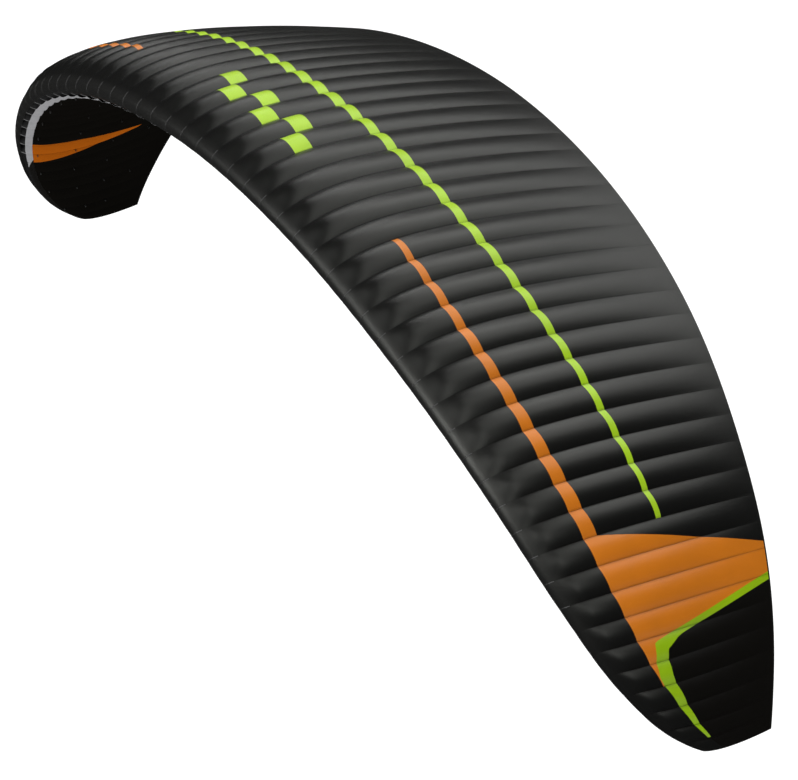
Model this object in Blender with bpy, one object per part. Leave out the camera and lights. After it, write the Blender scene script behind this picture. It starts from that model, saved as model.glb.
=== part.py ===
"""A paraglider wing, inflated as it flies.

Sixty cells lie side by side between a top cloth and a bottom cloth. A rib stands at every seam, sewn to the
bottom cloth. The mouths under the nose are open, so that the air can fill the cells, except near the tips, where
the bottom cloth reaches round to the top cloth. The span runs along X, the nose points to -Y and Z is up. The origin is where the lines take hold, under the middle rib.
"""

import math

import bpy
import numpy as np

# Driving dimensions, in metres and degrees.
CELLS = 60
CELLS_IN_SECTION = 4
CELLS_IN_BAND = 12
TIP_RIB = CELLS / 2

# One half of the wing, a row for each rib that sets its shape. The other half mirrors it.
# rib: counted from the middle. along: measured on the arch. turn: how far the rib leans out from upright.
# set_back: how far its nose lies behind the middle nose. chord: nose to trailing edge. depth: share of chord.
RIB_ROWS = (
    {"rib": 0, "along": 0.00, "turn": 0.0, "set_back": 0.000, "chord": 2.490, "depth": 0.140},
    {"rib": 6, "along": 1.44, "turn": 11.0, "set_back": 0.010, "chord": 2.430, "depth": 0.145},
    {"rib": 12, "along": 2.78, "turn": 24.0, "set_back": 0.080, "chord": 2.240, "depth": 0.160},
    {"rib": 18, "along": 3.99, "turn": 40.5, "set_back": 0.255, "chord": 1.890, "depth": 0.180},
    {"rib": 22, "along": 4.73, "turn": 52.0, "set_back": 0.440, "chord": 1.590, "depth": 0.195},
    {"rib": 26, "along": 5.38, "turn": 63.5, "set_back": 0.720, "chord": 1.170, "depth": 0.205},
    {"rib": 28, "along": 5.68, "turn": 69.0, "set_back": 0.940, "chord": 0.875, "depth": 0.210},
    {"rib": 30, "along": 5.90, "turn": 75.0, "set_back": 1.220, "chord": 0.545, "depth": 0.215},
)

CAMBER = 0.015  # rise of the profile's middle line, as a share of the chord
CAMBER_AT = 0.30  # where along the chord that rise is highest
TAIL_LIFT = 0.008  # how much the trailing edge is raised, as a share of the chord
TRAILING_HALF = 0.003  # half the height between the two cloths at the trailing edge
HANG_AT = 0.30  # where along the middle rib the lines take hold

CLOTH = 0.002  # thickness of a sheet
BAND_CLOTH = 0.0012  # thickness of the nose band
GAP = 0.0003  # between pieces that are sewn edge to edge
BINDING_DEPTH = 0.002
BINDING_HALF_HEIGHT = 0.005

TOP_SWELL = 0.125  # how far a cell rises between its ribs, as a share of its width
BOTTOM_SWELL = 0.07
NOSE_SWELL = 0.35  # share of that rise which is left at the nose
FULL_SWELL_AT = 0.12  # share of the chord by which a cell has its full rise
SWELL_FADE = 1.6  # power of the fade from there to the trailing edge

# Places along the profile, as shares of the chord. Those under 0 lie on the lower side of the nose.
UPPER_LIP = -0.012
LOWER_LIP = -0.034
BAND_BACK = -0.065
CLOSED_LIP = -0.0125  # front edge of the bottom cloth where the cells have no mouth
CLOSED_FROM = 22  # the rib beyond which they have none
TOP_PLACES = (UPPER_LIP, 0.0, 0.012, 0.045, 0.10, 0.19, 0.32, 0.50, 0.73, 1.0)
BOTTOM_PLACES = (LOWER_LIP, BAND_BACK, -0.20, -0.42, -0.70, -1.0)

# NACA's thickness terms for a unit depth, with a closed trailing edge.
DEPTH_TERMS = ((0.5, 1.4845), (1, -0.63), (2, -1.758), (3, 1.4215), (4, -0.518))

STEP_ON_RIBS = 0.02  # rib spacing of the steps that measure the arch and its slopes
STEP_ON_PROFILE = 0.003
ROUND_ANGLE = math.radians(40)


def column(name, odd):
    """A smooth function of the rib number through one column of the table, mirrored about the middle rib."""
    ribs = np.array([row["rib"] for row in RIB_ROWS], float)
    values = np.array([row[name] for row in RIB_ROWS], float)
    ribs = np.concatenate([-ribs[:0:-1], ribs])
    values = np.concatenate([(-1 if odd else 1) * values[:0:-1], values])
    widths = np.diff(ribs)
    rises = np.diff(values) / widths
    slopes = np.empty(len(ribs))
    slopes[1:-1] = (rises[:-1] * widths[1:] + rises[1:] * widths[:-1]) / (widths[1:] + widths[:-1])
    slopes[0] = 2 * rises[0] - slopes[1]
    slopes[-1] = 2 * rises[-1] - slopes[-2]

    def value(rib):
        low = np.clip(np.searchsorted(ribs, rib) - 1, 0, len(widths) - 1)
        way = (rib - ribs[low]) / widths[low]
        back = 1 - way
        start = back**2 * (1 + 2 * way) * values[low] + back**2 * way * widths[low] * slopes[low]
        end = way**2 * (1 + 2 * back) * values[low + 1] - way**2 * back * widths[low] * slopes[low + 1]
        return start + end

    return value


ALONG = column("along", odd=True)
TURN = column("turn", odd=True)
SET_BACK = column("set_back", odd=False)
CHORD = column("chord", odd=False)
DEPTH = column("depth", odd=False)


def walk_the_arch():
    """Steps along the arch from the middle rib, and the x and z that each step reaches."""
    ribs = np.arange(0, TIP_RIB + 2 * STEP_ON_RIBS, STEP_ON_RIBS)
    steps = np.diff(ALONG(ribs))
    lean = np.radians(TURN((ribs[:-1] + ribs[1:]) / 2))
    x = np.concatenate([[0], np.cumsum(steps * np.cos(lean))])
    z = np.concatenate([[0], np.cumsum(-steps * np.sin(lean))])
    return ribs, x, z


ARCH_RIBS, ARCH_X, ARCH_Z = walk_the_arch()


def profile(rib, place):
    """Distance back from the nose and height above the chord line, at one place round the profile."""
    chord = CHORD(rib)
    share = abs(place)
    half = DEPTH(rib) * sum(factor * share**power for power, factor in DEPTH_TERMS)
    run = CAMBER_AT if share < CAMBER_AT else 1 - CAMBER_AT
    middle = CAMBER * (1 - ((share - CAMBER_AT) / run) ** 2)
    side = 1 if place >= 0 else -1
    height = (middle + TAIL_LIFT * share + side * half) * chord
    return share * chord, height + side * TRAILING_HALF * share


HANG_HEIGHT = profile(0, -HANG_AT)[1]


def to_world(rib, back, height):
    """The world point that lies this far back and this high above the chord line in a rib's plane."""
    side = 1 if rib >= 0 else -1
    lean = math.radians(TURN(rib))
    x = side * np.interp(abs(rib), ARCH_RIBS, ARCH_X)
    z = np.interp(abs(rib), ARCH_RIBS, ARCH_Z) - HANG_HEIGHT
    y = SET_BACK(rib) - HANG_AT * CHORD(0)
    return np.array([x + height * math.sin(lean), y + back, z + height * math.cos(lean)])


def skin_point(rib, place, inset=0.0, swell=0.0):
    """A point on the skin at a rib's plane, moved out by swell and in by inset, measured square to the cloth."""
    ahead = to_world(rib, *profile(rib, place - STEP_ON_PROFILE))
    behind = to_world(rib, *profile(rib, place + STEP_ON_PROFILE))
    way = (behind - ahead) / np.linalg.norm(behind - ahead)
    lean = math.radians(TURN(rib))
    out_of_plane = np.array([math.cos(lean), 0.0, -math.sin(lean)])
    out = np.cross(out_of_plane, way)
    across = to_world(rib + STEP_ON_RIBS, *profile(rib + STEP_ON_RIBS, place))
    across = across - to_world(rib - STEP_ON_RIBS, *profile(rib - STEP_ON_RIBS, place))
    square = np.cross(across, way)
    slant = float(np.dot(square / np.linalg.norm(square), out))
    return to_world(rib, *profile(rib, place)) + out * (swell - inset / slant)


def cell_width(rib):
    """Distance along the arch from half a rib before to half a rib after."""
    inner = max(abs(rib) - 0.5, 0)
    return float(ALONG(inner + 1) - ALONG(inner))


def swell_at(rib, place):
    """How far the cloth stands out between two ribs: nothing on a rib, most half-way."""
    most = TOP_SWELL if place >= CLOSED_LIP else BOTTOM_SWELL
    share = abs(place)
    between = 1 - abs(2 * (rib % 1) - 1)
    ahead = NOSE_SWELL + (1 - NOSE_SWELL) * min(share / FULL_SWELL_AT, 1)
    return most * cell_width(rib) * between * ahead * (1 - share**SWELL_FADE)


def nudge(rib, distance):
    """The rib number a short distance along the arch from a rib."""
    return rib + distance / cell_width(rib)


def half_cells(first, last):
    """Rib numbers of the columns from one rib to another, two for each cell, drawn in a little at both ends."""
    inner = [rib / 2 for rib in range(2 * first + 1, 2 * last)]
    return [nudge(first, GAP / 2)] + inner + [nudge(last, -GAP / 2)]


def settled(rib):
    """The nearest half rib, which tells whether a nudged column lies on a rib."""
    return round(2 * rib) / 2


def grid(ribs, places, inset):
    """Points on the swollen skin, a row for each column of the sheet."""
    return [[skin_point(rib, place, inset, swell_at(settled(rib), place)) for place in places] for rib in ribs]


class Solid:
    """Collects the points and faces of one closed piece."""

    def __init__(self):
        self.points = []
        self.faces = []

    def add(self, rows):
        """Adds rows of points and returns their numbers in the same rows."""
        numbers = []
        for row in rows:
            numbers.append(list(range(len(self.points), len(self.points) + len(row))))
            self.points.extend(tuple(float(value) for value in point) for point in row)
        return numbers

    def cover(self, rows, skip=()):
        """Faces over a grid of point numbers, leaving out the strips whose first row is in skip."""
        for index in range(len(rows) - 1):
            if index not in skip:
                self.join(rows[index], rows[index + 1])

    def join(self, row, other):
        """Faces between two rows of point numbers."""
        for a, b, c, d in zip(row, row[1:], other[1:], other):
            self.faces.append((a, b, c, d))

    def finish(self, name, material):
        mesh = bpy.data.meshes.new(name)
        mesh.from_pydata(self.points, [], self.faces)
        mesh.validate()
        piece = bpy.data.objects.new(name, mesh)
        bpy.context.scene.collection.objects.link(piece)
        bpy.context.view_layer.objects.active = piece
        bpy.ops.object.mode_set(mode="EDIT")
        bpy.ops.mesh.select_all(action="SELECT")
        bpy.ops.mesh.normals_make_consistent(inside=False)
        bpy.ops.object.mode_set(mode="OBJECT")
        mesh.materials.append(material)
        mesh.shade_smooth()
        mesh.set_sharp_from_angle(angle=ROUND_ANGLE)
        return piece


def cloth_material(name, colour, roughness):
    material = bpy.data.materials.new(name)
    material.use_nodes = True
    shader = material.node_tree.nodes["Principled BSDF"]
    shader.inputs["Base Color"].default_value = (*colour, 1.0)
    shader.inputs["Roughness"].default_value = roughness
    shader.inputs["Metallic"].default_value = 0.0
    return material


def sheet(name, ribs, places, inset, thickness, material):
    """One sheet of cloth: an outer and an inner grid, closed round its rim."""
    solid = Solid()
    outer = solid.add(grid(ribs, places, inset))
    inner = solid.add(grid(ribs, places, inset + thickness))
    close_round(solid, outer, inner)
    return solid.finish(name, material)


def close_round(solid, outer, inner, skip=()):
    solid.cover(outer)
    solid.cover(inner, skip)
    solid.join(outer[0], inner[0])
    solid.join(outer[-1], inner[-1])
    solid.join([row[0] for row in outer], [row[0] for row in inner])
    solid.join([row[-1] for row in outer], [row[-1] for row in inner])


def rib_strips(first, last):
    """The two edges of each rib's foot in a section. An end rib stands wholly inside its section."""
    edges = [(nudge(first, GAP / 2), nudge(first, GAP / 2 + CLOTH))]
    for rib in range(first + 1, last):
        edges.append((nudge(rib, -CLOTH / 2), nudge(rib, CLOTH / 2)))
    if last == TIP_RIB:
        edges.append((nudge(last, -GAP / 2 - CLOTH), nudge(last, -GAP / 2)))
    return edges


def bottom_section(name, first, last, material):
    """Bottom cloth of some cells, with the ribs that are sewn to it."""
    strips = rib_strips(first, last)
    ribs = []
    feet = []
    for number, (low, high) in enumerate(strips):
        feet.append(len(ribs))
        ribs += [low, high]
        if first + number < last:
            ribs.append(first + number + 0.5)
    if last != TIP_RIB:
        ribs.append(nudge(last, -GAP / 2))
    closed = max(-first, last) > CLOSED_FROM
    places = (CLOSED_LIP, *BOTTOM_PLACES) if closed else BOTTOM_PLACES
    solid = Solid()
    outer = solid.add(grid(ribs, places, 0.0))
    inner = solid.add(grid(ribs, places, CLOTH))
    close_round(solid, outer, inner, skip=feet)
    for foot, strip in zip(feet, strips):
        tops = solid.add([[skin_point(rib, place, CLOTH + GAP) for place in TOP_PLACES] for rib in strip])
        left = inner[foot]
        right = inner[foot + 1]
        solid.faces.append(tuple(left + tops[0][::-1]))
        solid.faces.append(tuple(right + tops[1][::-1]))
        solid.join(tops[0], tops[1])
        solid.faces.append((left[0], right[0], tops[1][0], tops[0][0]))
        solid.faces.append((left[-1], right[-1], tops[1][-1], tops[0][-1]))
    return solid.finish(name, material)


def binding(name, first, last, material):
    """The tape along the trailing edge: a flat strip that stands just behind both cloths."""
    solid = Solid()
    rings = []
    for rib in half_cells(first, last):
        front = CHORD(rib) + GAP
        rear = front + BINDING_DEPTH
        low = TAIL_LIFT * CHORD(rib) - BINDING_HALF_HEIGHT
        high = TAIL_LIFT * CHORD(rib) + BINDING_HALF_HEIGHT
        corners = ((front, low), (rear, low), (rear, high), (front, high))
        rings.append([to_world(rib, back, height) for back, height in corners])
    numbers = solid.add(rings)
    solid.cover([ring + ring[:1] for ring in numbers])
    solid.faces.append(tuple(numbers[0]))
    solid.faces.append(tuple(numbers[-1]))
    return solid.finish(name, material)


def stretches(cells):
    """Numbered stretches of this many cells from one tip to the other, as their first and last rib."""
    starts = range(-CELLS // 2, CELLS // 2, cells)
    return [(number + 1, start, start + cells) for number, start in enumerate(starts)]


def main():
    for item in list(bpy.data.objects):
        bpy.data.objects.remove(item)
    top = cloth_material("top_cloth", (0.055, 0.055, 0.052), 0.55)
    bottom = cloth_material("bottom_cloth", (0.006, 0.006, 0.006), 0.6)
    pale = cloth_material("nose_band", (0.33, 0.33, 0.33), 0.6)
    tape = cloth_material("edge_binding", (0.02, 0.02, 0.02), 0.6)
    for number, first, last in stretches(CELLS_IN_SECTION):
        sheet(f"top_cloth_{number:02d}", half_cells(first, last), TOP_PLACES, 0.0, CLOTH, top)
        bottom_section(f"bottom_cloth_{number:02d}", first, last, bottom)
        binding(f"edge_binding_{number:02d}", first, last, tape)
    for number, first, last in stretches(CELLS_IN_BAND):
        ribs = half_cells(first, last)
        sheet(f"nose_band_{number}", ribs, (LOWER_LIP, BAND_BACK), -GAP - BAND_CLOTH, BAND_CLOTH, pale)


main()
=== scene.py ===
# %% [markdown]
# # Dressing a paraglider wing
#
# A paraglider is a wing of cloth. Two skins are sewn to some sixty ribs, and air that rams in under the
# nose blows the cells between the ribs into round bolsters. The solid model already gives the size of the
# wing and where every piece lies, so this script leaves all sizes alone. It makes the finely curved cloth,
# the tapes and the coloured panels that stand for those plain solids.

# %% Tools and the fixed frame
import math

import bpy
import numpy as np
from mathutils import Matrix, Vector


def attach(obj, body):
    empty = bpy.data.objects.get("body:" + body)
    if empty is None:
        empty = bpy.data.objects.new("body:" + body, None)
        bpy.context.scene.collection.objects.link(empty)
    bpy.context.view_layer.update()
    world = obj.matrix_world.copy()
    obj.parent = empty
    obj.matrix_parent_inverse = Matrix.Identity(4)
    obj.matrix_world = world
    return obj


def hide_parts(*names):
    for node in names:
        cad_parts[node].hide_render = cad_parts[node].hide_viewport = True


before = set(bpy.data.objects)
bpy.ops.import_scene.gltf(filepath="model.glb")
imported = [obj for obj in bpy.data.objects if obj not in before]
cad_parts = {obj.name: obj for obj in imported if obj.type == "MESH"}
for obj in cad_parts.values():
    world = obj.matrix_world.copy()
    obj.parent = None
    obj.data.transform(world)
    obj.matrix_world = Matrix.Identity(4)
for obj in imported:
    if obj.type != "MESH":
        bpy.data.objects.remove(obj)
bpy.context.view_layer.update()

# %% [markdown]
# ## The camera and the studio
#
# The camera comes first, because everything else is judged through it. It stands well away from the pilot's
# left tip, in front of the wing and above it, with a long lens, so that the wing keeps its true
# proportions.

# %% The camera
IMAGE_WIDTH = 798
IMAGE_HEIGHT = 780
CAMERA_PLACE = (20.828, -10.9375, 10.2995)
CAMERA_TURN = 1.0536
CAMERA_DIP = 0.4814
CAMERA_REACH = 400.0
SENSOR_WIDTH = 36.0
LENS_IN_SENSORS = 4.4656
LENS = LENS_IN_SENSORS * SENSOR_WIDTH


def look(turn, dip):
    """The way a camera faces that is turned from +Y towards -X and dipped below the horizon."""
    return Vector((-math.sin(turn) * math.cos(dip), math.cos(turn) * math.cos(dip), -math.sin(dip)))


def aim(thing, way):
    """Puts a camera or a lamp in the scene and turns it to face this way."""
    thing.rotation_mode = "QUATERNION"
    thing.rotation_quaternion = way.to_track_quat("-Z", "Y")
    bpy.context.scene.collection.objects.link(thing)


camera_data = bpy.data.cameras.new("studio_camera")
camera_data.sensor_width = SENSOR_WIDTH
camera_data.lens = LENS
camera_data.clip_end = CAMERA_REACH
camera = bpy.data.objects.new("studio_camera", camera_data)
camera.location = CAMERA_PLACE
aim(camera, look(CAMERA_TURN, CAMERA_DIP))
bpy.context.scene.camera = camera
print("lens", round(LENS, 1), "mm, for an image of", IMAGE_WIDTH, "by", IMAGE_HEIGHT, "pixels")

# %% [markdown]
# Dark satin cloth shows its form through broad, soft reflections, so the lamps matter as much as the cloth.
# Each row of the table is a soft lamp: the way to it, its half-width in degrees seen from the wing, and its
# strength. Most light comes from above and behind, which leaves the near slope of every cell dark. Low
# lamps in front of the wing lay a soft line of light along its rounded nose. A lamp far away lights all
# parts of a wing this large evenly, and that is what Blender's sun lamp does.

# %% The lamps
LAMPS = (
    {"name": "roof_lamp", "way": (0.15, 0.0, 1.0), "half_width": 24.0, "strength": 0.80},
    {"name": "rear_lamp", "way": (-0.3, 0.8, 0.6), "half_width": 20.0, "strength": 0.65},
    {"name": "high_rear_lamp", "way": (0.1, 0.5, 0.85), "half_width": 12.0, "strength": 0.40},
    {"name": "key_lamp", "way": (-0.4, 0.4, 0.85), "half_width": 14.0, "strength": 0.75},
    {"name": "far_lamp", "way": (-0.8, 0.3, 0.55), "half_width": 6.0, "strength": 0.20},
    {"name": "far_high_lamp", "way": (-0.7, 0.25, 0.65), "half_width": 8.0, "strength": 0.10},
    {"name": "nose_lamp", "way": (0.0, -0.95, 0.25), "half_width": 12.0, "strength": 1.40},
    {"name": "front_lamp", "way": (-0.45, -0.75, 0.45), "half_width": 12.0, "strength": 0.65},
    {"name": "near_lamp", "way": (0.65, -0.45, 0.6), "half_width": 22.0, "strength": 0.80},
    {"name": "low_near_lamp", "way": (0.75, -0.6, 0.25), "half_width": 12.0, "strength": 0.15},
)

for row in LAMPS:
    lamp_data = bpy.data.lights.new(row["name"], "SUN")
    lamp_data.angle = math.radians(2 * row["half_width"])
    lamp_data.energy = row["strength"]
    aim(bpy.data.objects.new(row["name"], lamp_data), -Vector(row["way"]))
print(len(LAMPS), "lamps")

# %% [markdown]
# ## A small language for materials
#
# Shader nodes are sums. Written out link by link they hide what they mean, so one small class wraps a
# socket and lends it the signs of arithmetic. An expression such as `1 - mask` then adds its own node.


# %% Sockets that can be added and multiplied
class Wire:
    """A socket that gives a number, with the signs that make Math nodes."""

    def __init__(self, recipe, socket):
        self.recipe = recipe
        self.socket = socket

    def sum(self, operation, *values):
        """One Math node, named by what it does to its values."""
        return self.recipe.node("ShaderNodeMath", {"operation": operation}, values)

    def __add__(self, other):
        return self.sum("ADD", self, other)

    def __sub__(self, other):
        return self.sum("SUBTRACT", self, other)

    def __rsub__(self, other):
        return self.sum("SUBTRACT", other, self)

    def __mul__(self, other):
        return self.sum("MULTIPLY", self, other)

    def __truediv__(self, other):
        return self.sum("DIVIDE", self, other)

    def __rtruediv__(self, other):
        return self.sum("DIVIDE", other, self)

    def __gt__(self, other):
        return self.sum("GREATER_THAN", self, other)

    def __lt__(self, other):
        return self.sum("LESS_THAN", self, other)

    def __abs__(self):
        return self.sum("ABSOLUTE", self)

    def __mod__(self, other):
        return self.sum("FLOORED_MODULO", self, other)

    __radd__ = __add__
    __rmul__ = __mul__


def held(wire):
    """The same number, but never under 0 or over 1."""
    return wire.sum("MINIMUM", wire.sum("MAXIMUM", wire, 0.0), 1.0)


print("sockets can be added, multiplied and compared")

# %% [markdown]
# A recipe is one tree of nodes while it is being laid out: a material's, or that of the light in the room.
# Every node comes from one method, which takes the kind of node, then its settings, then what goes into its
# sockets. A tree can also be drawn by hand in the node editor, but a recipe can be read from top to bottom.

# %% A tree of nodes
MIX_SHARE = 0
MIX_FIRST = 6
MIX_SECOND = 7
MIX_RESULT = 2


def colour(value):
    """Adds the fourth number that a colour socket wants."""
    return (*value, 1.0) if isinstance(value, tuple) and len(value) == 3 else value


def spaced(values):
    """An underscore in a name stands for the space in a socket's name."""
    return {name.replace("_", " "): value for name, value in values.items()}


class Recipe:
    """A tree of nodes that ends in one shader."""

    def __init__(self, owner, shader, end):
        owner.use_nodes = True
        self.owner = owner
        self.nodes = owner.node_tree.nodes
        self.links = owner.node_tree.links
        self.shader = self.nodes[shader]
        self.end = self.nodes[end]
        self.bump = None

    def node(self, kind, settings, values, output=0):
        """Adds a node, first its settings and then the values or wires of its sockets."""
        node = self.nodes.new(kind)
        for name, setting in settings.items():
            setattr(node, name, setting)
        pairs = values.items() if isinstance(values, dict) else enumerate(values)
        for key, value in pairs:
            self.feed(node.inputs[key], value)
        return Wire(self, node.outputs[output])

    def feed(self, socket, value):
        """Links a wire to a socket, or writes a plain value on it."""
        if isinstance(value, Wire):
            self.links.new(value.socket, socket)
        else:
            socket.default_value = colour(value)

    def measure(self, name):
        """A number that is written on the mesh, such as the distance from the nearest seam."""
        return self.node("ShaderNodeAttribute", {"attribute_name": name}, {}, "Fac")

    def mix(self, share, first, second):
        """One colour turning into another as the share goes from 0 to 1."""
        values = {MIX_SHARE: share, MIX_FIRST: first, MIX_SECOND: second}
        return self.node("ShaderNodeMix", {"data_type": "RGBA"}, values, MIX_RESULT)

    def set(self, **values):
        """Sets the shader's sockets."""
        for name, value in spaced(values).items():
            self.feed(self.shader.inputs[name], value)

    def relief(self, height, distance):
        """Turns a height between 0 and 1 into small hills of this many metres."""
        values = {"Strength": 1.0, "Distance": distance, "Height": height}
        self.bump = self.node("ShaderNodeBump", {}, values)
        self.set(Normal=self.bump)

    def beside(self, share, **values):
        """Adds a second shader of the same kind and relief, which takes over as the share goes to 1."""
        if self.bump is not None:
            values["Normal"] = self.bump
        second = self.node(self.shader.bl_idname, {}, spaced(values))
        both = self.node("ShaderNodeMixShader", {}, (share, Wire(self, self.shader.outputs[0]), second))
        self.feed(self.end.inputs["Surface"], both)


def new_finish(name):
    """The recipe of a new material."""
    return Recipe(bpy.data.materials.new(name), "Principled BSDF", "Material Output")


print("materials can now be written as sums")

# %% [markdown]
# ## The form of the wing
#
# The same few numbers as in the solid model give the form: a row for each rib that sets the arch, the chord
# and the depth of the profile, with a smooth curve through the rows. Points on the cloth are found from two
# numbers only, the rib number across the span and the place along the profile.

# %% The table of ribs
CELLS = 60
TIP_RIB = CELLS // 2
RIB_ROWS = (
    {"rib": 0, "along": 0.00, "turn": 0.0, "set_back": 0.000, "chord": 2.490, "depth": 0.140},
    {"rib": 6, "along": 1.44, "turn": 11.0, "set_back": 0.010, "chord": 2.430, "depth": 0.145},
    {"rib": 12, "along": 2.78, "turn": 24.0, "set_back": 0.080, "chord": 2.240, "depth": 0.160},
    {"rib": 18, "along": 3.99, "turn": 40.5, "set_back": 0.255, "chord": 1.890, "depth": 0.180},
    {"rib": 22, "along": 4.73, "turn": 52.0, "set_back": 0.440, "chord": 1.590, "depth": 0.195},
    {"rib": 26, "along": 5.38, "turn": 63.5, "set_back": 0.720, "chord": 1.170, "depth": 0.205},
    {"rib": 28, "along": 5.68, "turn": 69.0, "set_back": 0.940, "chord": 0.875, "depth": 0.210},
    {"rib": 30, "along": 5.90, "turn": 75.0, "set_back": 1.220, "chord": 0.545, "depth": 0.215},
)


def column(name, odd):
    """A smooth curve through one column of the table, mirrored about the middle rib."""
    ribs = np.array([row["rib"] for row in RIB_ROWS], float)
    values = np.array([row[name] for row in RIB_ROWS], float)
    ribs = np.concatenate([-ribs[:0:-1], ribs])
    values = np.concatenate([(-1 if odd else 1) * values[:0:-1], values])
    widths = np.diff(ribs)
    rises = np.diff(values) / widths
    slopes = np.empty(len(ribs))
    slopes[1:-1] = (rises[:-1] * widths[1:] + rises[1:] * widths[:-1]) / (widths[1:] + widths[:-1])
    slopes[0] = 2 * rises[0] - slopes[1]
    slopes[-1] = 2 * rises[-1] - slopes[-2]

    def value(rib):
        low = np.clip(np.searchsorted(ribs, rib) - 1, 0, len(widths) - 1)
        way = (rib - ribs[low]) / widths[low]
        back = 1 - way
        start = back**2 * (1 + 2 * way) * values[low] + back**2 * way * widths[low] * slopes[low]
        end = way**2 * (1 + 2 * back) * values[low + 1] - way**2 * back * widths[low] * slopes[low + 1]
        return start + end

    return value


ALONG = column("along", odd=True)
TURN = column("turn", odd=True)
SET_BACK = column("set_back", odd=False)
CHORD = column("chord", odd=False)
DEPTH = column("depth", odd=False)
HALF_SPAN = float(ALONG(float(TIP_RIB)))
print("half the span along the cloth is", round(HALF_SPAN, 2), "m")

# %% [markdown]
# The table gives how far along the cloth a rib stands and how much it leans there. Walking out from the
# middle in small steps, each in the direction of its own lean, draws the arch.

# %% The arch
ARCH_STEP = 0.02
ARCH_RIBS = np.arange(0, TIP_RIB + 2 * ARCH_STEP, ARCH_STEP)

arch_leans = np.radians(TURN((ARCH_RIBS[:-1] + ARCH_RIBS[1:]) / 2))
arch_lengths = np.diff(ALONG(ARCH_RIBS))
ARCH_X = np.concatenate([[0], np.cumsum(arch_lengths * np.cos(arch_leans))])
ARCH_Z = np.concatenate([[0], np.cumsum(-arch_lengths * np.sin(arch_leans))])
print("half the span across the arch is", round(ARCH_X[-1], 2), "m")

# %% [markdown]
# A rib's profile is measured in its own plane: back from the nose, and up from the chord line. Places from
# 0 to 1 run back over the upper side and places from 0 to -1 run back under the lower side, as shares of
# the chord. The wing hangs from its lines at a point under the middle rib, and that point is the origin.

# %% The profile
CAMBER = 0.015
CAMBER_AT = 0.30
TAIL_LIFT = 0.008
TRAILING_HALF = 0.003
HANG_AT = 0.30
DEPTH_TERMS = ((0.5, 1.4845), (1, -0.63), (2, -1.758), (3, 1.4215), (4, -0.518))


def profile(rib, place):
    """Distance back from the nose and height above the chord line."""
    chord = CHORD(rib)
    share = np.abs(place)
    half = DEPTH(rib) * sum(factor * share**power for power, factor in DEPTH_TERMS)
    run = np.where(share < CAMBER_AT, CAMBER_AT, 1 - CAMBER_AT)
    middle = CAMBER * (1 - ((share - CAMBER_AT) / run) ** 2)
    side = np.where(place >= 0, 1, -1)
    height = (middle + TAIL_LIFT * share + side * half) * chord
    return share * chord, height + side * TRAILING_HALF * share


HANG_HEIGHT = profile(0.0, -HANG_AT)[1]
print("the origin lies", round(float(-HANG_HEIGHT), 3), "m under the middle chord line")

# %% From rib number and place to a point in space
PROFILE_STEP = 0.002


def to_world(rib, back, height):
    """The point this far back and this high in a rib's plane."""
    lean = np.radians(TURN(rib))
    x = np.sign(rib) * np.interp(np.abs(rib), ARCH_RIBS, ARCH_X)
    z = np.interp(np.abs(rib), ARCH_RIBS, ARCH_Z) - HANG_HEIGHT
    y = SET_BACK(rib) - HANG_AT * CHORD(0.0) + back
    return np.stack([x + height * np.sin(lean), y, z + height * np.cos(lean)], axis=-1)


def unit(vectors):
    return vectors / np.linalg.norm(vectors, axis=-1, keepdims=True)


def across(rib):
    """The way along the arch at a rib, towards +X."""
    lean = np.radians(TURN(rib))
    return np.stack([np.cos(lean), np.zeros_like(lean), -np.sin(lean)], axis=-1)


def skin(rib, place, lift):
    """Points on the profile, lifted off it in the rib's plane by so many metres."""
    rib, place, lift = np.broadcast_arrays(rib, place, lift)
    rib, place = rib.astype(float), place.astype(float)
    after = to_world(rib, *profile(rib, place + PROFILE_STEP))
    before = to_world(rib, *profile(rib, place - PROFILE_STEP))
    out = np.cross(across(rib), unit(after - before))
    return to_world(rib, *profile(rib, place)) + out * lift[..., None]


def cell_width(rib):
    """Width of the cell that holds this rib number, in metres."""
    inner = np.clip(np.floor(np.abs(rib)), 0, TIP_RIB - 1)
    return ALONG(inner + 1) - ALONG(inner)


print("the middle nose lies at", np.round(skin(0.0, 0.0, 0.0), 3))

# %% [markdown]
# ## How a cell swells
#
# Between two ribs the cloth stands up in an arc, highest half-way. A cloth simulation could blow it up, but
# air holds this cloth so taut that a short sum gives the same shape and never moves the ribs. At the nose
# stiff rods hold the cloth, so the cells start nearly flat there and are full some twenty centimetres
# further back. Towards the trailing edge the two skins come together and the arcs die away.

# %% The swell
UPPER_LIP = -0.012
LOWER_LIP = -0.034
LIP_MARGIN = 0.001
TOP_SWELL = 0.155
BOTTOM_SWELL = 0.07
TOP_NOSE_SHARE = 0.05
BOTTOM_NOSE_SHARE = 0.85
SWELL_STARTS = 0.016
SWELL_FULL = 0.085
SWELL_FADE = 2.2


def ease(value, low, high):
    """Rises smoothly from 0 at low to 1 at high."""
    share = np.clip((value - low) / (high - low), 0, 1)
    return share * share * (3 - 2 * share)


def swell(rib, place, most):
    """How far the cloth stands out from the straight line between its two ribs, in metres.

    Rods hold the upper skin nearly flat at the nose, and nothing holds the lower one.
    """
    between = rib - np.floor(rib)
    arc = 1 - (2 * between - 1) ** 2
    share = np.abs(place)
    on_upper = np.asarray(place) > LOWER_LIP + LIP_MARGIN
    at_nose = np.where(on_upper, TOP_NOSE_SHARE, BOTTOM_NOSE_SHARE)
    ahead = at_nose + (1 - at_nose) * ease(share, SWELL_STARTS, SWELL_FULL)
    return most * cell_width(rib) * arc * ahead * (1 - share**SWELL_FADE)


middle_swell = swell(np.array(0.5), np.array(0.3), TOP_SWELL)
print("a middle cell swells by", round(float(middle_swell) * 1000), "mm")

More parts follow.
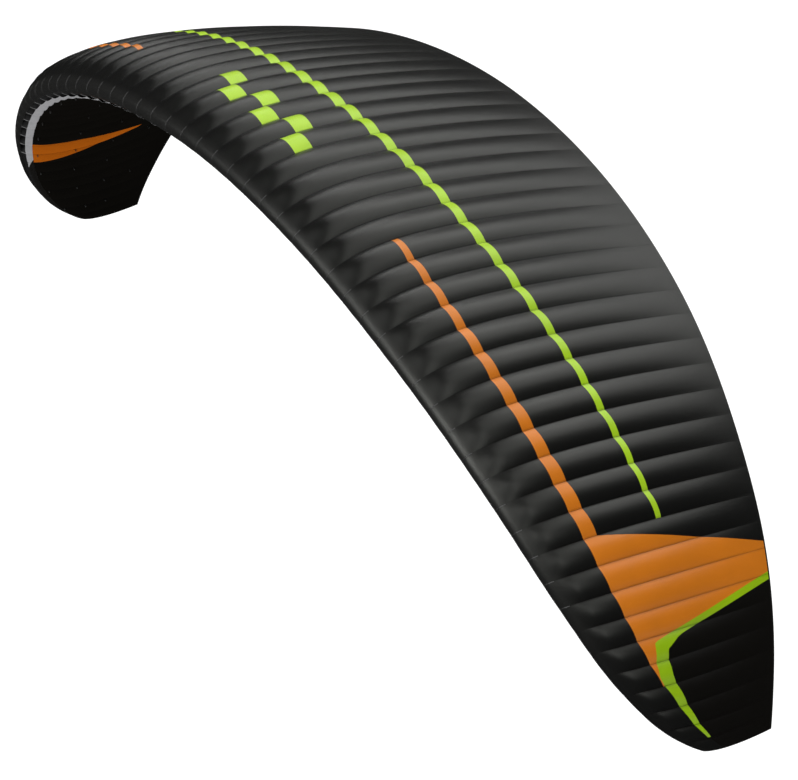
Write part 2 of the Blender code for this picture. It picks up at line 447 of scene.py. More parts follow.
# %% [markdown]
# ## From rows of points to cloth
#
# A sheet is a grid of points: columns across the span and rows along the profile. The folds at the seams
# have to stay crisp, so their edges are marked sharp, and so are the cut edges. Each point also carries a
# few measures in metres, such as the distance from the nearest seam, so that thread and weave can be drawn
# at their real size.

# %% Making a sheet from a grid
BEHIND_FACES = -1.0
BEFORE_FACES = 1.0
BOTH_SIDES = 0.0


def link(name, mesh, material):
    """Puts a mesh in the scene as a piece of this material."""
    piece = bpy.data.objects.new(name, mesh)
    bpy.context.scene.collection.objects.link(piece)
    mesh.materials.append(material)
    mesh.shade_smooth()
    return piece


def grid_faces(numbers):
    """Four-sided faces between the rows and columns of a grid of point numbers."""
    corners = (numbers[:-1, :-1], numbers[1:, :-1], numbers[1:, 1:], numbers[:-1, 1:])
    return np.stack(corners, axis=-1).reshape(-1, 4)


def grid_mesh(name, points):
    """A mesh of four-sided faces over an array of rows of points."""
    rows, columns = points.shape[:2]
    numbers = np.arange(rows * columns).reshape(rows, columns)
    mesh = bpy.data.meshes.new(name)
    mesh.from_pydata(points.reshape(-1, 3).tolist(), [], grid_faces(numbers).tolist())
    return mesh


def write_measure(mesh, name, values):
    """Writes one number on each point of a mesh."""
    attribute = mesh.attributes.new(name, "FLOAT", "POINT")
    attribute.data.foreach_set("value", np.ascontiguousarray(values, dtype=np.float32).ravel())


def crease(mesh, on_rib):
    """Marks a sheet's edges sharp along its first and last rows and along the ribs.

    The array on_rib says for each point whether it lies on a rib.
    """
    rows, columns = on_rib.shape
    ends = np.empty(len(mesh.edges) * 2, int)
    mesh.edges.foreach_get("vertices", ends)
    ends = ends.reshape(-1, 2)
    sharp = on_rib.ravel()[ends].all(axis=1)
    for row in (0, rows - 1):
        sharp |= (ends // columns == row).all(axis=1)
    attribute = mesh.attributes.new("sharp_edge", "BOOLEAN", "EDGE")
    attribute.data.foreach_set("value", sharp)


def thicken(piece, thickness, side):
    """Gives a sheet its thickness, on one side of its faces or on both."""
    solidify = piece.modifiers.new("thickness", "SOLIDIFY")
    solidify.thickness = thickness
    solidify.offset = side


print("sheets can be cut")

# %% [markdown]
# ## The panels of colour
#
# The coloured panels are cut from dyed cloth and sewn in edge to edge. Each is written as a table of rib
# number, front edge and rear edge, both as shares of the chord. A point carries where it lies between the
# two edges, from 0 at the front edge to 1 at the rear edge. Both halves of the wing are alike, so the
# tables hold one half.

# %% Where the panels lie
LIME_STRIPE = (
    (0, 0.400, 0.434),
    (4, 0.407, 0.438),
    (8, 0.420, 0.450),
    (12, 0.443, 0.471),
    (16, 0.475, 0.502),
    (20, 0.508, 0.532),
)
ORANGE_STRIPE = (
    (8, 0.199, 0.218),
    (12, 0.193, 0.222),
    (16, 0.190, 0.231),
    (20, 0.188, 0.244),
)
ORANGE_PANEL = (
    (20, 0.188, 0.244),
    (21.8, 0.188, 1.02),
    (24.0, 0.188, 1.02),
    (25, 0.190, 0.340),
    (26, 0.192, 0.205),
)
LIME_EDGING = (
    (22.85, 1.02, 1.197),
    (24.2, 0.262, 0.40),
    (24.6, 0.243, 0.31),
    (25.6, 0.197, 0.272),
    (28.9, 0.225, 0.255),
)
FAR_BEHIND = 9.0

edging_middles = tuple((rib, (front + rear) / 2, FAR_BEHIND) for rib, front, rear in LIME_EDGING)
BEYOND_EDGING = edging_middles + ((TIP_RIB, 0.24, FAR_BEHIND),)
PANELS = {
    "lime_stripe": LIME_STRIPE,
    "orange_stripe": ORANGE_STRIPE,
    "orange_panel": ORANGE_PANEL,
    "lime_edging": LIME_EDGING,
    "beyond_edging": BEYOND_EDGING,
}
CHEQUER_FRONT = 0.165
CHEQUER_STEP = 0.055
CHEQUER_CELLS = 3
CHEQUER_ROWS = 2


def between_edges(rib, share, table):
    """0 on a panel's front edge, 1 on its rear edge, and well outside that range beyond its ends."""
    number, front, rear = np.array(table, float).T
    half = np.abs(rib)
    front_edge = np.interp(half, number, front)
    rear_edge = np.interp(half, number, rear)
    return (share - front_edge) / (rear_edge - front_edge)


print(len(PANELS), "panels on each half, and a chequer over", 2 * CHEQUER_CELLS, "cells")

# %% [markdown]
# ## Cloth, thread and tape
#
# The wing is of coated nylon with a ripstop weave: every few millimetres a stronger thread makes a tiny
# raised grid. Two rows of stitches run beside each seam. Both are drawn from the measures on the points, so
# they keep their real size wherever the cloth curves.

# %% Weave, stitches and patches
RIPSTOP_PITCH = 0.005
RIPSTOP_WIDTH = 0.0008
STITCH_PITCH = 0.004
STITCH_SHARE = 0.7
THREAD_HALF = 0.0005


def ripstop(recipe):
    """1 on the stronger threads of the weave and 0 between them."""
    along = (recipe.measure("along") % RIPSTOP_PITCH) < RIPSTOP_WIDTH
    back = (recipe.measure("back") % RIPSTOP_PITCH) < RIPSTOP_WIDTH
    return recipe.node("ShaderNodeMath", {"operation": "MAXIMUM"}, (along, back))


def stitches(distance, run, offset):
    """1 on the dashes of a row of stitches that keeps this far from a line."""
    in_row = abs(distance - offset) < THREAD_HALF
    return in_row * ((run % STITCH_PITCH) < STITCH_PITCH * STITCH_SHARE)


def cloud(recipe, size, detail):
    """Soft patches between 0 and 1, sized in metres and fixed to the piece."""
    place = recipe.node("ShaderNodeTexCoord", {}, {}, "Object")
    return recipe.node("ShaderNodeTexNoise", {}, {"Vector": place, "Scale": 1 / size, "Detail": detail})


print("one ripstop square is", RIPSTOP_PITCH * 1000, "mm wide")

# %% [markdown]
# One finish serves both skins. Broad patches make the dye and the sheen a little uneven, the weave and the
# seam darken it, and the stitches lie on top. The relief is a fraction of a millimetre, so a bump is enough
# for it.

# %% The finish of a sewn skin
BLACK = (0.0, 0.0, 0.0)
DARK_THREAD = (0.004, 0.004, 0.004)
SEAM_COLOUR = (0.001, 0.001, 0.001)
SEAM_HALF = 0.0012
SEAM_SHADE = 0.6
STITCH_ROWS = (0.003, 0.009)
THREAD_COVER = 0.7
THREAD_RELIEF = 0.65
WEAVE_SHADE = 0.15
WEAVE_SHEEN = 0.06
WEAVE_RELIEF = 0.35
PATCH_SIZE = 0.35
PATCH_SHADE = 0.25
PATCH_FLOOR = 0.08
PATCH_SHEEN = 0.08
CLOTH_RELIEF = 0.00025


def finish_cloth(recipe, base, roughness):
    """Adds weave, seam and stitches to a cloth's colour and gives it its sheen and relief."""
    seam = recipe.measure("seam")
    run = recipe.measure("back")
    weave = ripstop(recipe)
    patches = cloud(recipe, PATCH_SIZE, 3.0)
    near_row, far_row = (stitches(seam, run, offset) for offset in STITCH_ROWS)
    thread = near_row + far_row
    base = recipe.mix(weave * WEAVE_SHADE, base, BLACK)
    base = recipe.mix((patches - 0.5) * PATCH_SHADE + PATCH_FLOOR, base, BLACK)
    base = recipe.mix((seam < SEAM_HALF) * SEAM_SHADE, base, SEAM_COLOUR)
    base = recipe.mix(thread * THREAD_COVER, base, DARK_THREAD)
    recipe.set(Base_Color=base, Roughness=patches * PATCH_SHEEN + roughness - weave * WEAVE_SHEEN)
    recipe.relief(weave * WEAVE_RELIEF + thread * THREAD_RELIEF, CLOTH_RELIEF)
    return recipe.owner


print("the stitches stand up", CLOTH_RELIEF * THREAD_RELIEF * 1000, "mm")

# %% [markdown]
# ## The top cloth
#
# The top cloth is dark grey, with a narrow lime stripe over most of the span, an orange stripe further
# forward and a wedge of orange with a lime edging near each tip. Where one panel ends and the next begins
# the colour changes within a thread's width. Over the nose the cloth is painted a little lighter, in faint
# specks: a painted sheen, for the light that its threads catch there.

# %% Panels as masks
def inside(recipe, name, first, last):
    """1 within a panel, between two ribs counted from the middle."""
    place = recipe.measure(name)
    rib = abs(recipe.measure("rib"))
    return (place > 0) * (place < 1) * (rib > first) * (rib < last)


def first_and_last(table):
    """The first and the last rib of a panel."""
    return table[0][0], table[-1][0]


def chequer_squares(recipe):
    """1 on every other square of the chequer across the middle of the wing."""
    row = (recipe.measure("share") - CHEQUER_FRONT) / CHEQUER_STEP
    cell = recipe.measure("rib") + CHEQUER_CELLS
    within = (row > 0) * (row < CHEQUER_ROWS) * (cell > 0) * (cell < 2 * CHEQUER_CELLS)
    return within * (((row - row % 1) + (cell - cell % 1)) % 2)


print("a mask is 1 on its panel and 0 elsewhere")

# %% [markdown]
# The colours go on one over another, each under its mask. An image painted over the whole wing would do
# too, but the edges between the panels would blur from close by, and masks stay crisp at any distance.

# %% The top cloth's colours
GREY_CLOTH = (0.0056, 0.0056, 0.0054)
BLACK_CLOTH = (0.0046, 0.0041, 0.0034)
LIME_CLOTH = (0.455, 0.74, 0.021)
# Painted shade: the edging is the stripe's lime painted about a quarter darker, for shade on the steep
# tips.
SHADED_EDGING_LIME = (0.325, 0.555, 0.006)
ORANGE_CLOTH = (0.705, 0.204, 0.012)
NOSE_PAINTED_SHEEN = (0.014, 0.014, 0.0135)
BEFORE_MIDDLE = -1
EDGING_MIDDLE = 22.9
PAST_TIP = 30.5
NOSE_DEPTH = 0.030
NOSE_SHARPNESS = 60
NOSE_ENDS = 26
NOSE_FADE = 9
SPECK_SIZE = 0.012
SPECK_LEVEL = 0.45
SPECK_CONTRAST = 6
SPECK_SHARE = 0.3

top_finish = new_finish("top_cloth")
place_now = top_finish.measure("share")
rib_now = abs(top_finish.measure("rib"))
on_orange_stripe = inside(top_finish, "orange_stripe", *first_and_last(ORANGE_STRIPE))
on_orange = held(on_orange_stripe + inside(top_finish, "orange_panel", *first_and_last(ORANGE_PANEL)))
on_edging = inside(top_finish, "lime_edging", *first_and_last(LIME_EDGING))
on_stripe = inside(top_finish, "lime_stripe", BEFORE_MIDDLE, first_and_last(LIME_STRIPE)[1])
in_tip = inside(top_finish, "beyond_edging", EDGING_MIDDLE, PAST_TIP)
specks = held((cloud(top_finish, SPECK_SIZE, 1.0) - SPECK_LEVEL) * SPECK_CONTRAST)
# Painted sheen: the nose is painted lighter in faint specks, for the light its threads catch.
nose_painted_sheen = held((NOSE_DEPTH - place_now) * NOSE_SHARPNESS) * held((NOSE_ENDS - rib_now) / NOSE_FADE)
dyed = top_finish.mix(on_orange, GREY_CLOTH, ORANGE_CLOTH)
dyed = top_finish.mix(in_tip, dyed, BLACK_CLOTH)
dyed = top_finish.mix(on_edging, dyed, SHADED_EDGING_LIME)
dyed = top_finish.mix(held(on_stripe + chequer_squares(top_finish)), dyed, LIME_CLOTH)
dyed = top_finish.mix(nose_painted_sheen * (specks * SPECK_SHARE + (1 - SPECK_SHARE)), dyed, NOSE_PAINTED_SHEEN)
print("the colours of the top cloth take", len(top_finish.nodes), "nodes")

# %% [markdown]
# The cloth's coating has a satin shine. A second, duller shader of the black cloth's colour takes over on
# the matt black cloth of the tips, and along each seam as painted shade: within about a centimetre of the
# seam the cloth is painted black and dull, for the shade in the groove between two cells, where little
# light gets in. The painted shade fades out where the cells are flat, at the nose and at the trailing edge,
# and is faint on the bright panels. One shader with a changing shine would be simpler, but the strength of
# a shader's mirror light is best left constant when its looks are to be baked.

# %% The top cloth's shine
SATIN_LEVEL = 0.33
SATIN_TINT = (0.985, 1.0, 0.93)
SATIN_ROUGHNESS = 0.33
MATT_LEVEL = 0.12
MATT_ROUGHNESS = 0.45
GROOVE_HALF = 0.011
GROOVE_PAINTED_SHADE = 0.75
GROOVE_STARTS = 0.03
GROOVE_GROWS = 14
GROOVE_ENDS = 0.93
GROOVE_FADES = 6
GROOVE_LOST_ON_BRIGHT = 0.8

top_material = finish_cloth(top_finish, dyed, SATIN_ROUGHNESS)
top_finish.set(Specular_IOR_Level=SATIN_LEVEL, Specular_Tint=SATIN_TINT)
past_nose = held((place_now - GROOVE_STARTS) * GROOVE_GROWS)
ahead_of_tape = held((GROOVE_ENDS - place_now) * GROOVE_FADES)
on_bright = held(on_orange + on_edging + on_stripe)
# Painted shade along each seam: black and dull near the seam, for the shade in the groove between cells.
painted_groove_shade = held(1 - top_finish.measure("seam") / GROOVE_HALF) * GROOVE_PAINTED_SHADE
painted_groove_shade = painted_groove_shade * past_nose * ahead_of_tape * (1 - on_bright * GROOVE_LOST_ON_BRIGHT)
matt_tip_and_groove_shade = held(in_tip * (1 - on_edging) + painted_groove_shade)
top_finish.beside(matt_tip_and_groove_shade, Base_Color=BLACK_CLOTH, Roughness=MATT_ROUGHNESS, Specular_IOR_Level=MATT_LEVEL)
print("the top cloth's finish has", len(top_finish.nodes), "nodes")

# %% [markdown]
# The cloth itself is one curved sheet over all sixty cells. Its rows crowd together at the nose, where the
# profile bends most.

# %% The top cloth's shape
TOP_COLUMNS_IN_CELL = 12
TOP_ROWS = 56
TOP_CROWDING = 1.8
NOSE_ROWS = (UPPER_LIP, -0.008, -0.004, -0.0015)
CLOTH_THICKNESS = 0.001
WEAVE_STARTS = 10.0
ON_RIB = 1e-4
SECTIONS = range(1, 16)


def rib_columns(in_cell):
    """Rib numbers of the columns from one tip to the other."""
    return np.round(np.arange(-TIP_RIB * in_cell, TIP_RIB * in_cell + 1) / in_cell, 6)


def measured_sheet(name, ribs, places, most, lift, material, panels):
    """A swollen sheet that carries its measures. Panels names the tables of its coloured panels."""
    rib, place = np.meshgrid(ribs, places)
    points = skin(rib, place, swell(rib, place, most) + lift)
    row_steps = np.linalg.norm(np.diff(points, axis=0), axis=-1)
    from_rib = np.abs(rib - np.round(rib))
    measures = {
        "rib": rib,
        "share": np.abs(place),
        "along": ALONG(rib) + WEAVE_STARTS,
        "back": np.concatenate([np.zeros((1, len(ribs))), np.cumsum(row_steps, axis=0)]),
        "seam": from_rib * cell_width(rib),
    }
    for title, table in panels.items():
        measures[title] = between_edges(rib, np.abs(place), table)
    mesh = grid_mesh(name, points)
    for title, values in measures.items():
        write_measure(mesh, title, values)
    crease(mesh, from_rib < ON_RIB)
    return link(name, mesh, material)


top_places = np.concatenate([NOSE_ROWS, np.linspace(0, 1, TOP_ROWS) ** TOP_CROWDING])
top_ribs = rib_columns(TOP_COLUMNS_IN_CELL)
top_cloth = measured_sheet("top_cloth", top_ribs, top_places, TOP_SWELL, 0.0, top_material, PANELS)
thicken(top_cloth, CLOTH_THICKNESS, BEHIND_FACES)
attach(top_cloth, "root")
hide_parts(*[f"top_cloth_{number:02d}" for number in SECTIONS])
print("the top cloth has", len(top_cloth.data.polygons), "faces")

# %% [markdown]
# ## The bottom cloth
#
# The bottom cloth starts behind the air inlets and swells less than the top cloth. It is black and less
# shiny, with a long slender orange wedge near each tip, whose orange is painted darker than the top cloth's
# as shade on the underside.

# %% The bottom cloth
UNDER_COLUMNS_IN_CELL = 8
UNDER_ROWS = 30
UNDER_CROWDING = 1.5
UNDER_ROUGHNESS = 0.55
# Painted shade: the top cloth's orange painted about half as bright, for the shade on the underside.
SHADED_UNDER_ORANGE = (0.376, 0.089, 0.005)
UNDER_WEDGE = ((20.7, 0.03, 0.04), (21.4, 0.03, 0.70), (22.9, 0.03, 0.04))

under_finish = new_finish("bottom_cloth")
on_wedge = inside(under_finish, "under_wedge", *first_and_last(UNDER_WEDGE))
under_colour = under_finish.mix(on_wedge, BLACK_CLOTH, SHADED_UNDER_ORANGE)
under_material = finish_cloth(under_finish, under_colour, UNDER_ROUGHNESS)
under_finish.set(Specular_IOR_Level=0.0)
under_places = -(abs(LOWER_LIP) + (1 + LOWER_LIP) * np.linspace(0, 1, UNDER_ROWS) ** UNDER_CROWDING)
under_ribs = rib_columns(UNDER_COLUMNS_IN_CELL)
under_panels = {"under_wedge": UNDER_WEDGE}
bottom_cloth = measured_sheet(
    "bottom_cloth", under_ribs, under_places, BOTTOM_SWELL, 0.0, under_material, under_panels
)
thicken(bottom_cloth, CLOTH_THICKNESS, BEFORE_FACES)
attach(bottom_cloth, "root")
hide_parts(*[f"bottom_cloth_{number:02d}" for number in SECTIONS])
print("the bottom cloth has", len(bottom_cloth.data.polygons), "faces")

# %% [markdown]
# ## Ribs and tip panels
#
# A rib is a flat cloth cut to the profile, which holds the two skins apart. From outside only its front
# edge shows, as it crosses an air inlet. At each tip a last one closes the wing. The ribs are one piece and
# the two tip panels another, because they never move against each other.

# %% Plain cloth
PLAIN_PATCH = 0.02
PLAIN_THREAD = 0.0015
PLAIN_SHADE = 0.3
PLAIN_FLOOR = 0.15
PLAIN_SHEEN = 0.1
PLAIN_RELIEF = 0.0003


def plain_cloth(name, tint, roughness):
    """A plain woven cloth whose fine threads show only from close by."""
    recipe = new_finish(name)
    patches = cloud(recipe, PLAIN_PATCH, 2.0)
    threads = cloud(recipe, PLAIN_THREAD, 1.0)
    shade = (patches - 0.5) * PLAIN_SHADE + (threads - 0.5) * PLAIN_SHADE + PLAIN_FLOOR
    recipe.set(Base_Color=recipe.mix(shade, tint, BLACK), Roughness=roughness + threads * PLAIN_SHEEN)
    recipe.relief(threads, PLAIN_RELIEF)
    return recipe.owner


print("plain cloth has threads", PLAIN_THREAD * 1000, "mm wide")

# %% Ribs
RIB_INSET = 0.0018
RIB_SHEET_ROWS = 40
RIB_CROWDING = 2
RIB_NOSE = 0.0006
RIB_TAIL_DROP = 0.001
RIB_THICKNESS = 0.0008
RIB_CLOTH = (0.030, 0.030, 0.030)
RIB_ROUGHNESS = 0.6
TIP_PANEL_RIB = TIP_RIB - 0.01
TIP_ROUGHNESS = 0.55


def rib_sheets(name, numbers, material):
    """Flat cloth profiles at these ribs, all in one piece."""
    shares = RIB_NOSE + (1 - RIB_NOSE) * np.linspace(0, 1, RIB_SHEET_ROWS) ** RIB_CROWDING
    points = []
    faces = []
    for rib in numbers:
        upper = skin(rib, shares, -RIB_INSET)
        lower = skin(rib, -shares, -RIB_INSET)
        lower[-1] = upper[-1] + (0, 0, -RIB_TAIL_DROP)
        start = len(points)
        points.extend(np.stack([upper, lower], axis=1).reshape(-1, 3).tolist())
        for row in range(RIB_SHEET_ROWS - 1):
            corner = start + 2 * row
            faces.append((corner, corner + 1, corner + 3, corner + 2))
    mesh = bpy.data.meshes.new(name)
    mesh.from_pydata(points, [], faces)
    piece = link(name, mesh, material)
    thicken(piece, RIB_THICKNESS, BOTH_SIDES)
    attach(piece, "root")
    return piece


inner_ribs = [float(rib) for rib in range(-TIP_RIB + 1, TIP_RIB)]
tip_ribs = [-TIP_PANEL_RIB, TIP_PANEL_RIB]
ribs = rib_sheets("ribs", inner_ribs, plain_cloth("rib_cloth", RIB_CLOTH, RIB_ROUGHNESS))
tip_panels = rib_sheets("tip_panels", tip_ribs, plain_cloth("tip_cloth", BLACK_CLOTH, TIP_ROUGHNESS))
print("ribs stand", round(float(ALONG(1.0)) * 1000), "mm apart in the middle")

# %% [markdown]
# ## The nose
#
# A pale band of heavier cloth stiffens the lower lip of the inlets, and narrows to nothing just past the
# last inlet. Its narrow end is a matter of colour: the cloth goes on to the tip in black, so it needs no
# cutting.

# %% The nose band
BAND_BACK = -0.065
BAND_COLUMNS_IN_CELL = 10
BAND_ROWS = 6
BAND_LIFT = 0.0013
BAND_THICKNESS = 0.0008
BAND_CLOTH = (0.30, 0.30, 0.31)
BAND_SHADE = (0.15, 0.15, 0.15)
BAND_ROUGHNESS = 0.55
BAND_PATCH = 0.05
BAND_PATCH_LEVEL = 0.4
BAND_PATCH_SHADE = 0.5
BAND_ENDS = 23.4
BAND_TAPER = 0.032

band_finish = new_finish("nose_band")
band_patches = (cloud(band_finish, BAND_PATCH, 2.0) - BAND_PATCH_LEVEL) * BAND_PATCH_SHADE
band_depth = (BAND_ENDS - abs(band_finish.measure("rib"))) * BAND_TAPER
past_band = (band_finish.measure("share") + LOWER_LIP) > band_depth
band_colour = band_finish.mix(band_patches, BAND_CLOTH, BAND_SHADE)
band_finish.set(Base_Color=band_finish.mix(past_band, band_colour, BLACK_CLOTH), Roughness=BAND_ROUGHNESS)
band_finish.relief(ripstop(band_finish), CLOTH_RELIEF)
band_places = np.linspace(LOWER_LIP + LIP_MARGIN, BAND_BACK, BAND_ROWS)
band_ribs = rib_columns(BAND_COLUMNS_IN_CELL)
nose_band = measured_sheet(
    "nose_band", band_ribs, band_places, BOTTOM_SWELL, BAND_LIFT, band_finish.owner, {}
)
thicken(nose_band, BAND_THICKNESS, BEFORE_FACES)
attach(nose_band, "root")
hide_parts(*[f"nose_band_{number}" for number in range(1, 6)])
print("the band is", round((LOWER_LIP - BAND_BACK) * float(CHORD(0.0)) * 1000), "mm wide in the middle")

# %% [markdown]
# The outer cells have no inlet, and a strip of cloth closes their noses. Air reaches them through holes in
# the ribs, which are out of sight and aren't made here.

# %% The closed noses
INLETS_END = 22
CLOSED_COLUMNS_IN_CELL = 6
CLOSED_ROWS = 5
CLOSED_OVERLAP = 0.002
CLOSED_LIFT = -0.0005
CLOSED_THICKNESS = 0.0008
CLOSED_CLOTH = (0.008, 0.008, 0.008)
CLOSED_ROUGHNESS = 0.5

closed_places = np.linspace(UPPER_LIP + CLOSED_OVERLAP, LOWER_LIP - CLOSED_OVERLAP, CLOSED_ROWS)
first_column = INLETS_END * CLOSED_COLUMNS_IN_CELL
last_column = TIP_RIB * CLOSED_COLUMNS_IN_CELL
outer_ribs = np.arange(first_column, last_column + 1) / CLOSED_COLUMNS_IN_CELL
closed_material = plain_cloth("closed_nose", CLOSED_CLOTH, CLOSED_ROUGHNESS)
for side_name, side_ribs in (("near", outer_ribs), ("far", -outer_ribs[::-1])):
    points = skin(*np.meshgrid(side_ribs, closed_places), CLOSED_LIFT)
    piece = link("closed_nose_" + side_name, grid_mesh("closed_nose_" + side_name, points), closed_material)
    thicken(piece, CLOSED_THICKNESS, BOTH_SIDES)
    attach(piece, "root")
print("the outer", TIP_RIB - INLETS_END, "cells of each side have no inlet")

# %% [markdown]
# A thin rod in a narrow pocket runs round the nose on each rib. It holds the cloth to its curve and shows
# as a light tick on the dark nose. A curve with a bevel would also make a tube. Rings of points round a
# path are used here, because the pocket is oval and has to stand square on the cloth.

# %% Tubes and strips in one piece
OTHER_WAY_ROUND = [0, 3, 2, 1]


def tube(path, side, out, half_width, half_height, sides):
    """Rings of points round a path: an oval with these half axes."""
    turn = np.linspace(0, 2 * np.pi, sides, endpoint=False)
    ring = side[:, None] * (half_width * np.cos(turn))[None, :, None]
    ring = ring + out[:, None] * (half_height * np.sin(turn))[None, :, None]
    return path[:, None] + ring


def add_grid(store, points, closed):
    """Adds a grid to a store of points and faces that will be one piece. A closed one is a capped tube."""
    rows, columns = points.shape[:2]
    numbers = len(store["points"]) + np.arange(rows * columns).reshape(rows, columns)
    if closed:
        store["faces"].extend([numbers[0].tolist(), numbers[-1][::-1].tolist()])
        numbers = np.concatenate([numbers, numbers[:, :1]], axis=1)
    store["faces"].extend(grid_faces(numbers)[:, OTHER_WAY_ROUND].tolist())
    store["points"].extend(points.reshape(-1, 3).tolist())


def store_piece(name, store, material):
    """Makes one piece of all that was added to a store."""
    mesh = bpy.data.meshes.new(name)
    mesh.from_pydata(store["points"], [], store["faces"])
    piece = link(name, mesh, material)
    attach(piece, "root")
    return piece


print("tubes and strips can be gathered into one piece")

# %% Rod pockets
POCKET_START = 0.022
POCKET_END = -0.036
POCKET_ROWS = 26
POCKET_SIDES = 8
POCKET_HALF_WIDTH = 0.0028
POCKET_HALF_HEIGHT = 0.0016
POCKET_STANDS = 0.6
OUTWARD = 0.01
POCKET_CLOTH = (0.24, 0.24, 0.24)
POCKET_SHADE = (0.02, 0.02, 0.02)
POCKET_ROUGHNESS = 0.5
PALE_FROM = 0.006
PALE_SHARE = 0.16

pockets = {"points": [], "faces": []}
root = np.linspace(math.sqrt(POCKET_START), -math.sqrt(-POCKET_END), POCKET_ROWS)
pocket_places = np.sign(root) * root**2
for rib in range(-INLETS_END, INLETS_END + 1):
    path = skin(float(rib), pocket_places, POCKET_HALF_HEIGHT * POCKET_STANDS)
    out = unit(skin(float(rib), pocket_places, OUTWARD) - path)
    side = np.broadcast_to(across(float(rib)), path.shape)
    add_grid(pockets, tube(path, side, out, POCKET_HALF_WIDTH, POCKET_HALF_HEIGHT, POCKET_SIDES), True)
pocket_finish = new_finish("rod_pocket")
pocket_place = pocket_finish.measure("share")
pale = (pocket_place > PALE_FROM) * PALE_SHARE + (pocket_place < UPPER_LIP)
pocket_colour = pocket_finish.mix(pale, POCKET_SHADE, POCKET_CLOTH)
pocket_finish.set(Base_Color=pocket_colour, Roughness=POCKET_ROUGHNESS)
rod_pockets = store_piece("rod_pockets", pockets, pocket_finish.owner)
one_pocket = np.repeat(pocket_places, POCKET_SIDES)
write_measure(rod_pockets.data, "share", np.tile(one_pocket, 2 * INLETS_END + 1))
print("a rod runs", round(POCKET_START * float(CHORD(0.0)) * 1000), "mm back from the nose in the middle")

# %% [markdown]
# ## The trailing edge and the line tabs
#
# A tape of the same satin cloth is folded round both skins at the trailing edge. Its folds are hard, so it
# is shaded flat.

# %% The trailing edge's tape
TAPE_COLUMNS_IN_CELL = 4
TAPE_WIDTH = 0.012
TAPE_LIFT = 0.0012
TAPE_TURNS = 0.9995
TAPE_PAST_END = 0.002
TAPE_HALF_FOLD = 0.002
TAPE_THICKNESS = 0.0007
TAPE_CLOTH = (0.012, 0.012, 0.0115)
TAPE_PATCH = 0.05
TAPE_SHADE = 0.2

tape_ribs = rib_columns(TAPE_COLUMNS_IN_CELL)
tape_share = 1 - TAPE_WIDTH / CHORD(tape_ribs)
turn_share = np.full_like(tape_share, TAPE_TURNS)
rear_back = CHORD(tape_ribs) + TAPE_PAST_END
rear_height = TAIL_LIFT * CHORD(tape_ribs)
tape_rows = [
    skin(tape_ribs, tape_share, swell(tape_ribs, tape_share, TOP_SWELL) + TAPE_LIFT),
    skin(tape_ribs, turn_share, TAPE_LIFT),
    to_world(tape_ribs, rear_back, rear_height + TAPE_HALF_FOLD),
    to_world(tape_ribs, rear_back, rear_height - TAPE_HALF_FOLD),
    skin(tape_ribs, -turn_share, TAPE_LIFT),
    skin(tape_ribs, -tape_share, swell(tape_ribs, tape_share, BOTTOM_SWELL) + TAPE_LIFT),
]
tape_finish = new_finish("edge_binding")
tape_patches = cloud(tape_finish, TAPE_PATCH, 2.0)
tape_colour = tape_finish.mix(tape_patches * TAPE_SHADE, TAPE_CLOTH, BLACK)
tape_finish.set(Base_Color=tape_colour, Roughness=tape_patches * PATCH_SHEEN + SATIN_ROUGHNESS)
tape_finish.set(Specular_IOR_Level=SATIN_LEVEL, Specular_Tint=SATIN_TINT)
edge_binding = link("edge_binding", grid_mesh("edge_binding", np.stack(tape_rows)), tape_finish.owner)
edge_binding.data.shade_flat()
thicken(edge_binding, TAPE_THICKNESS, BOTH_SIDES)
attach(edge_binding, "root")
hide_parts(*[f"edge_binding_{number:02d}" for number in SECTIONS])
print("the tape covers", TAPE_WIDTH * 1000, "mm of each skin")

# %% [markdown]
# Under the wing a small loop of webbing stands wherever a line is tied on, in four rows across the span. A
# loop is a flat strip whose points run down, round and up again.

# %% Line tabs
TAB_HALF_WIDTH = 0.005
TAB_LENGTH = 0.022
TAB_HALF_THROAT = 0.004
TAB_SUNK = 0.003
TAB_THICKNESS = 0.0012
TAB_WEBBING = (0.028, 0.028, 0.028)
TAB_ROUGHNESS = 0.6
TAB_ROWS = (
    {"share": 0.09, "every": 2},
    {"share": 0.30, "every": 2},
    {"share": 0.52, "every": 2},
    {"share": 0.74, "every": 4},
)
LOOP_POINTS = 7

tabs = {"points": [], "faces": []}
loop_turn = np.linspace(0, math.pi, LOOP_POINTS)
loop_back = np.concatenate([[1.0], np.cos(loop_turn), [-1.0]]) * TAB_HALF_THROAT
loop_down = np.concatenate([[0.0], TAB_LENGTH + np.sin(loop_turn) * TAB_HALF_THROAT, [0.0]]) - TAB_SUNK
tab_feet = []
for row in TAB_ROWS:
    ribs_with_tab = range(-TIP_RIB + row["every"], TIP_RIB, row["every"])
    tab_feet.extend((float(rib), -row["share"]) for rib in ribs_with_tab)
for rib, place in tab_feet:
    foot = skin(rib, place, 0.0)
    side = across(rib)
    down = unit(skin(rib, place, OUTWARD) - foot)
    middle = foot + loop_back[:, None] * np.cross(side, down) + loop_down[:, None] * down
    strip = np.stack([middle - side * TAB_HALF_WIDTH, middle + side * TAB_HALF_WIDTH], axis=1)
    add_grid(tabs, strip, False)
line_tabs = store_piece("line_tabs", tabs, plain_cloth("tab_webbing", TAB_WEBBING, TAB_ROUGHNESS))
thicken(line_tabs, TAB_THICKNESS, BOTH_SIDES)
print(len(tab_feet), "line tabs")

# %% [markdown]
# ## The flat wing
#
# The flat wing's area is its chord summed along the span. The two skins are a little larger or smaller than
# this plan, by their curve, their swell and the inlets.

# %% Flat sizes
SPAN_STEPS = 601

span_ribs = np.linspace(-TIP_RIB, TIP_RIB, SPAN_STEPS)
plan = float(np.trapz(CHORD(span_ribs), ALONG(span_ribs)))
print("the flat wing is", round(plan, 1), "square metres")

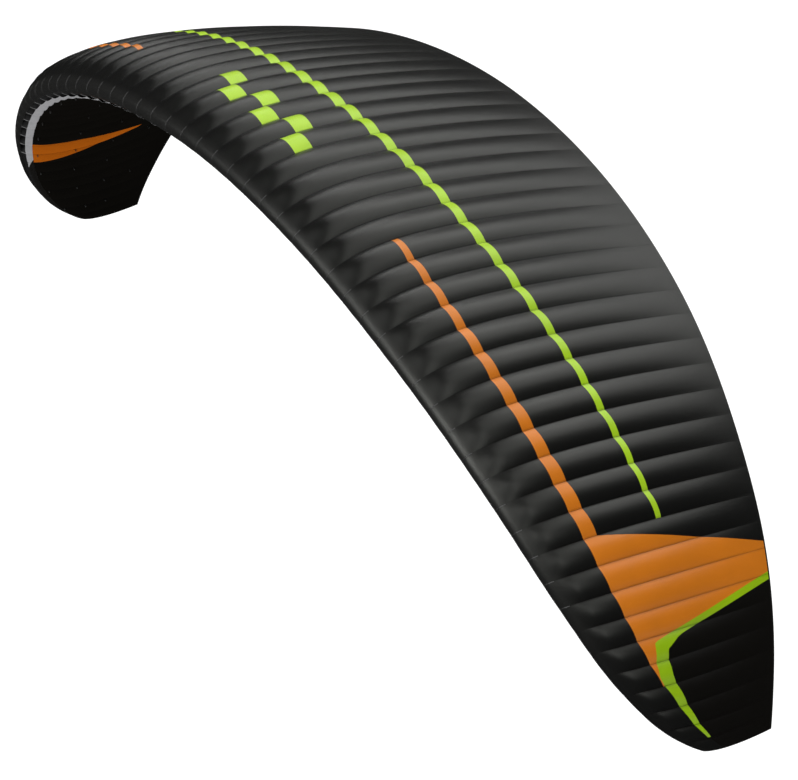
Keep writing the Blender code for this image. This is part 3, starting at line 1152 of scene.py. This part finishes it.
# %% [markdown]
# ## The floor and the room
#
# A wing in flight has nothing near it. The pale floor lies far enough below to keep its shadow out of
# sight, and glows a little, so that it stays white where few lamps reach it. Satin cloth would mirror such
# a bright floor at a flat angle, so the floor is hidden from mirrored rays. The cloth still gets its soft
# light from it.

# %% The floor
FLOOR_HEIGHT = -26.0
FLOOR_HALF = 120.0
FLOOR_GLOW = 0.8
FLOOR_PAINT = (0.38, 0.38, 0.38)
FLOOR_SHADE = (0.34, 0.34, 0.34)
FLOOR_PATCH = 3.0
FLOOR_SHADE_SHARE = 0.2
FLOOR_ROUGHNESS = 0.9
WHITE = (1.0, 1.0, 1.0)
FLOOR_CORNERS = ((-1, -1), (1, -1), (1, 1), (-1, 1))

floor_finish = new_finish("floor")
floor_patches = cloud(floor_finish, FLOOR_PATCH, 2.0) * FLOOR_SHADE_SHARE
floor_colour = floor_finish.mix(floor_patches, FLOOR_PAINT, FLOOR_SHADE)
floor_finish.set(Base_Color=floor_colour, Roughness=FLOOR_ROUGHNESS, Specular_IOR_Level=0.0)
floor_finish.set(Emission_Color=WHITE, Emission_Strength=FLOOR_GLOW)
floor_points = [(x * FLOOR_HALF, y * FLOOR_HALF, FLOOR_HEIGHT) for x, y in FLOOR_CORNERS]
floor_mesh = bpy.data.meshes.new("floor")
floor_mesh.from_pydata(floor_points, [], [(0, 1, 2, 3)])
floor = link("floor", floor_mesh, floor_finish.owner)
floor.visible_glossy = False
print("the floor lies", -FLOOR_HEIGHT, "m below the wing")

# %% [markdown]
# The room looks white, yet gives the wing hardly any light: that would wash out the dark side of the cells.
# Two backgrounds do this, one for what the camera sees and a weak one for everything else.

# %% The light of the room
ROOM_SEEN = 1.0
ROOM_LIGHT = 0.015

room = Recipe(bpy.data.worlds.new("room"), "Background", "World Output")
room.set(Color=WHITE, Strength=ROOM_LIGHT)
seen = room.node("ShaderNodeLightPath", {}, {}, "Is Camera Ray")
room.beside(seen, Color=WHITE, Strength=ROOM_SEEN)
bpy.context.scene.world = room.owner
bpy.context.scene.view_settings.view_transform = "Standard"
print("the room's light is", ROOM_LIGHT, "of what the camera sees")
